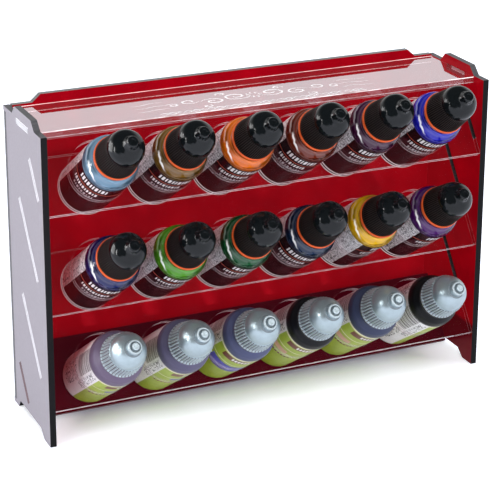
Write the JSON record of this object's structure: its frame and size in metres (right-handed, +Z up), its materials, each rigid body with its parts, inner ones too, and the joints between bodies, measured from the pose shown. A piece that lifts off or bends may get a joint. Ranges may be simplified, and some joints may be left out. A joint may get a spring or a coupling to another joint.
{
  "type": "paint rack",
  "caption": "Tiered countertop rack of slot-together acrylic sheets with tilted holed plates that hold dropper paint bottles with screw caps.",
  "frame": {"origin": "bottom centre of the box round the loaded rack, on the surface it stands on", "axes": "+X to the right along the rack, +Y to its back, +Z up"},
  "size_m": [0.225, 0.0878, 0.1552],
  "materials": {
    "red_mirror_acrylic": "mirror-backed, laser-cut edges",
    "clear_acrylic": "clear and polished",
    "dark_red_acrylic": "mirror-backed",
    "black_plastic": "glossy",
    "silver_plastic": "metallic satin",
    "orange_plastic": "satin",
    "blue_grey_paint": "clear flask filled with glossy paint",
    "olive_paint": "clear flask filled with glossy paint",
    "orange_paint": "clear flask filled with glossy paint",
    "red_brown_paint": "clear flask filled with glossy paint",
    "plum_paint": "clear flask filled with glossy paint",
    "ultramarine_paint": "clear flask filled with glossy paint",
    "navy_paint": "clear flask filled with glossy paint",
    "leaf_green_paint": "clear flask filled with glossy paint",
    "dark_green_paint": "clear flask filled with glossy paint",
    "ink_blue_paint": "clear flask filled with glossy paint",
    "yellow_paint": "clear flask filled with glossy paint",
    "purple_paint": "clear flask filled with glossy paint",
    "mauve_grey_paint": "clear flask filled with glossy paint",
    "pale_blue_grey_paint": "clear flask filled with glossy paint",
    "black_paint": "clear flask filled with glossy paint",
    "slate_blue_paint": "clear flask filled with glossy paint"
  },
  "bodies": {
    "rack": {"left_side_panel": "red_mirror_acrylic", "right_side_panel": "red_mirror_acrylic", "back_panel": "red_mirror_acrylic", "top_plate": "clear_acrylic", "upper_tier_plate": "clear_acrylic", "middle_tier_plate": "clear_acrylic", "lower_tier_plate": "clear_acrylic", "foot_plate": "dark_red_acrylic"},
    "bottle_upper_1": {"flask_upper_1": "blue_grey_paint", "collar_upper_1": "orange_plastic"},
    "cap_upper_1": {"cap_upper_1": "black_plastic"},
    "bottle_upper_2": {"flask_upper_2": "olive_paint", "collar_upper_2": "orange_plastic"},
    "cap_upper_2": {"cap_upper_2": "black_plastic"},
    "bottle_upper_3": {"flask_upper_3": "orange_paint", "collar_upper_3": "orange_plastic"},
    "cap_upper_3": {"cap_upper_3": "black_plastic"},
    "bottle_upper_4": {"flask_upper_4": "red_brown_paint", "collar_upper_4": "orange_plastic"},
    "cap_upper_4": {"cap_upper_4": "black_plastic"},
    "bottle_upper_5": {"flask_upper_5": "plum_paint", "collar_upper_5": "orange_plastic"},
    "cap_upper_5": {"cap_upper_5": "black_plastic"},
    "bottle_upper_6": {"flask_upper_6": "ultramarine_paint", "collar_upper_6": "orange_plastic"},
    "cap_upper_6": {"cap_upper_6": "black_plastic"},
    "bottle_middle_1": {"flask_middle_1": "navy_paint", "collar_middle_1": "orange_plastic"},
    "cap_middle_1": {"cap_middle_1": "black_plastic"},
    "bottle_middle_2": {"flask_middle_2": "leaf_green_paint", "collar_middle_2": "orange_plastic"},
    "cap_middle_2": {"cap_middle_2": "black_plastic"},
    "bottle_middle_3": {"flask_middle_3": "dark_green_paint", "collar_middle_3": "orange_plastic"},
    "cap_middle_3": {"cap_middle_3": "black_plastic"},
    "bottle_middle_4": {"flask_middle_4": "ink_blue_paint", "collar_middle_4": "orange_plastic"},
    "cap_middle_4": {"cap_middle_4": "black_plastic"},
    "bottle_middle_5": {"flask_middle_5": "yellow_paint", "collar_middle_5": "orange_plastic"},
    "cap_middle_5": {"cap_middle_5": "black_plastic"},
    "bottle_middle_6": {"flask_middle_6": "purple_paint", "collar_middle_6": "orange_plastic"},
    "cap_middle_6": {"cap_middle_6": "black_plastic"},
    "bottle_lower_1": {"flask_lower_1": "mauve_grey_paint"},
    "cap_lower_1": {"cap_lower_1": "silver_plastic"},
    "bottle_lower_2": {"flask_lower_2": "mauve_grey_paint"},
    "cap_lower_2": {"cap_lower_2": "silver_plastic"},
    "bottle_lower_3": {"flask_lower_3": "pale_blue_grey_paint"},
    "cap_lower_3": {"cap_lower_3": "silver_plastic"},
    "bottle_lower_4": {"flask_lower_4": "black_paint"},
    "cap_lower_4": {"cap_lower_4": "silver_plastic"},
    "bottle_lower_5": {"flask_lower_5": "slate_blue_paint"},
    "cap_lower_5": {"cap_lower_5": "silver_plastic"},
    "bottle_lower_6": {"flask_lower_6": "black_paint"},
    "cap_lower_6": {"cap_lower_6": "silver_plastic"}
  },
  "joints": [
    {"name": "pull_bottle_upper_1", "type": "slide", "parent": "rack", "child": "bottle_upper_1", "axis": [0, -0.8387, 0.5446], "range_m": [0, 0.06]},
    {"name": "unscrew_cap_upper_1", "type": "hinge", "parent": "bottle_upper_1", "child": "cap_upper_1", "pos_m": [-0.082, -0.02173, 0.13942], "axis": [0, -0.8387, 0.5446], "range_deg": [0, 540]},
    {"name": "pull_bottle_upper_2", "type": "slide", "parent": "rack", "child": "bottle_upper_2", "axis": [0, -0.8387, 0.5446], "range_m": [0, 0.06]},
    {"name": "unscrew_cap_upper_2", "type": "hinge", "parent": "bottle_upper_2", "child": "cap_upper_2", "pos_m": [-0.0492, -0.02173, 0.13942], "axis": [0, -0.8387, 0.5446], "range_deg": [0, 540]},
    {"name": "pull_bottle_upper_3", "type": "slide", "parent": "rack", "child": "bottle_upper_3", "axis": [0, -0.8387, 0.5446], "range_m": [0, 0.06]},
    {"name": "unscrew_cap_upper_3", "type": "hinge", "parent": "bottle_upper_3", "child": "cap_upper_3", "pos_m": [-0.0164, -0.02173, 0.13942], "axis": [0, -0.8387, 0.5446], "range_deg": [0, 540]},
    {"name": "pull_bottle_upper_4", "type": "slide", "parent": "rack", "child": "bottle_upper_4", "axis": [0, -0.8387, 0.5446], "range_m": [0, 0.06]},
    {"name": "unscrew_cap_upper_4", "type": "hinge", "parent": "bottle_upper_4", "child": "cap_upper_4", "pos_m": [0.0164, -0.02173, 0.13942], "axis": [0, -0.8387, 0.5446], "range_deg": [0, 540]},
    {"name": "pull_bottle_upper_5", "type": "slide", "parent": "rack", "child": "bottle_upper_5", "axis": [0, -0.8387, 0.5446], "range_m": [0, 0.06]},
    {"name": "unscrew_cap_upper_5", "type": "hinge", "parent": "bottle_upper_5", "child": "cap_upper_5", "pos_m": [0.0492, -0.02173, 0.13942], "axis": [0, -0.8387, 0.5446], "range_deg": [0, 540]},
    {"name": "pull_bottle_upper_6", "type": "slide", "parent": "rack", "child": "bottle_upper_6", "axis": [0, -0.8387, 0.5446], "range_m": [0, 0.06]},
    {"name": "unscrew_cap_upper_6", "type": "hinge", "parent": "bottle_upper_6", "child": "cap_upper_6", "pos_m": [0.082, -0.02173, 0.13942], "axis": [0, -0.8387, 0.5446], "range_deg": [0, 540]},
    {"name": "pull_bottle_middle_1", "type": "slide", "parent": "rack", "child": "bottle_middle_1", "axis": [0, -0.8387, 0.5446], "range_m": [0, 0.06]},
    {"name": "unscrew_cap_middle_1", "type": "hinge", "parent": "bottle_middle_1", "child": "cap_middle_1", "pos_m": [-0.082, -0.02173, 0.09222], "axis": [0, -0.8387, 0.5446], "range_deg": [0, 540]},
    {"name": "pull_bottle_middle_2", "type": "slide", "parent": "rack", "child": "bottle_middle_2", "axis": [0, -0.8387, 0.5446], "range_m": [0, 0.06]},
    {"name": "unscrew_cap_middle_2", "type": "hinge", "parent": "bottle_middle_2", "child": "cap_middle_2", "pos_m": [-0.0492, -0.02173, 0.09222], "axis": [0, -0.8387, 0.5446], "range_deg": [0, 540]},
    {"name": "pull_bottle_middle_3", "type": "slide", "parent": "rack", "child": "bottle_middle_3", "axis": [0, -0.8387, 0.5446], "range_m": [0, 0.06]},
    {"name": "unscrew_cap_middle_3", "type": "hinge", "parent": "bottle_middle_3", "child": "cap_middle_3", "pos_m": [-0.0164, -0.02173, 0.09222], "axis": [0, -0.8387, 0.5446], "range_deg": [0, 540]},
    {"name": "pull_bottle_middle_4", "type": "slide", "parent": "rack", "child": "bottle_middle_4", "axis": [0, -0.8387, 0.5446], "range_m": [0, 0.06]},
    {"name": "unscrew_cap_middle_4", "type": "hinge", "parent": "bottle_middle_4", "child": "cap_middle_4", "pos_m": [0.0164, -0.02173, 0.09222], "axis": [0, -0.8387, 0.5446], "range_deg": [0, 540]},
    {"name": "pull_bottle_middle_5", "type": "slide", "parent": "rack", "child": "bottle_middle_5", "axis": [0, -0.8387, 0.5446], "range_m": [0, 0.06]},
    {"name": "unscrew_cap_middle_5", "type": "hinge", "parent": "bottle_middle_5", "child": "cap_middle_5", "pos_m": [0.0492, -0.02173, 0.09222], "axis": [0, -0.8387, 0.5446], "range_deg": [0, 540]},
    {"name": "pull_bottle_middle_6", "type": "slide", "parent": "rack", "child": "bottle_middle_6", "axis": [0, -0.8387, 0.5446], "range_m": [0, 0.06]},
    {"name": "unscrew_cap_middle_6", "type": "hinge", "parent": "bottle_middle_6", "child": "cap_middle_6", "pos_m": [0.082, -0.02173, 0.09222], "axis": [0, -0.8387, 0.5446], "range_deg": [0, 540]},
    {"name": "pull_bottle_lower_1", "type": "slide", "parent": "rack", "child": "bottle_lower_1", "axis": [0, -0.8387, 0.5446], "range_m": [0, 0.06]},
    {"name": "unscrew_cap_lower_1", "type": "hinge", "parent": "bottle_lower_1", "child": "cap_lower_1", "pos_m": [-0.082, -0.02315, 0.04595], "axis": [0, -0.8387, 0.5446], "range_deg": [0, 540]},
    {"name": "pull_bottle_lower_2", "type": "slide", "parent": "rack", "child": "bottle_lower_2", "axis": [0, -0.8387, 0.5446], "range_m": [0, 0.06]},
    {"name": "unscrew_cap_lower_2", "type": "hinge", "parent": "bottle_lower_2", "child": "cap_lower_2", "pos_m": [-0.0492, -0.02315, 0.04595], "axis": [0, -0.8387, 0.5446], "range_deg": [0, 540]},
    {"name": "pull_bottle_lower_3", "type": "slide", "parent": "rack", "child": "bottle_lower_3", "axis": [0, -0.8387, 0.5446], "range_m": [0, 0.06]},
    {"name": "unscrew_cap_lower_3", "type": "hinge", "parent": "bottle_lower_3", "child": "cap_lower_3", "pos_m": [-0.0164, -0.02315, 0.04595], "axis": [0, -0.8387, 0.5446], "range_deg": [0, 540]},
    {"name": "pull_bottle_lower_4", "type": "slide", "parent": "rack", "child": "bottle_lower_4", "axis": [0, -0.8387, 0.5446], "range_m": [0, 0.06]},
    {"name": "unscrew_cap_lower_4", "type": "hinge", "parent": "bottle_lower_4", "child": "cap_lower_4", "pos_m": [0.0164, -0.02315, 0.04595], "axis": [0, -0.8387, 0.5446], "range_deg": [0, 540]},
    {"name": "pull_bottle_lower_5", "type": "slide", "parent": "rack", "child": "bottle_lower_5", "axis": [0, -0.8387, 0.5446], "range_m": [0, 0.06]},
    {"name": "unscrew_cap_lower_5", "type": "hinge", "parent": "bottle_lower_5", "child": "cap_lower_5", "pos_m": [0.0492, -0.02315, 0.04595], "axis": [0, -0.8387, 0.5446], "range_deg": [0, 540]},
    {"name": "pull_bottle_lower_6", "type": "slide", "parent": "rack", "child": "bottle_lower_6", "axis": [0, -0.8387, 0.5446], "range_m": [0, 0.06]},
    {"name": "unscrew_cap_lower_6", "type": "hinge", "parent": "bottle_lower_6", "child": "cap_lower_6", "pos_m": [0.082, -0.02315, 0.04595], "axis": [0, -0.8387, 0.5446], "range_deg": [0, 540]}
  ]
}
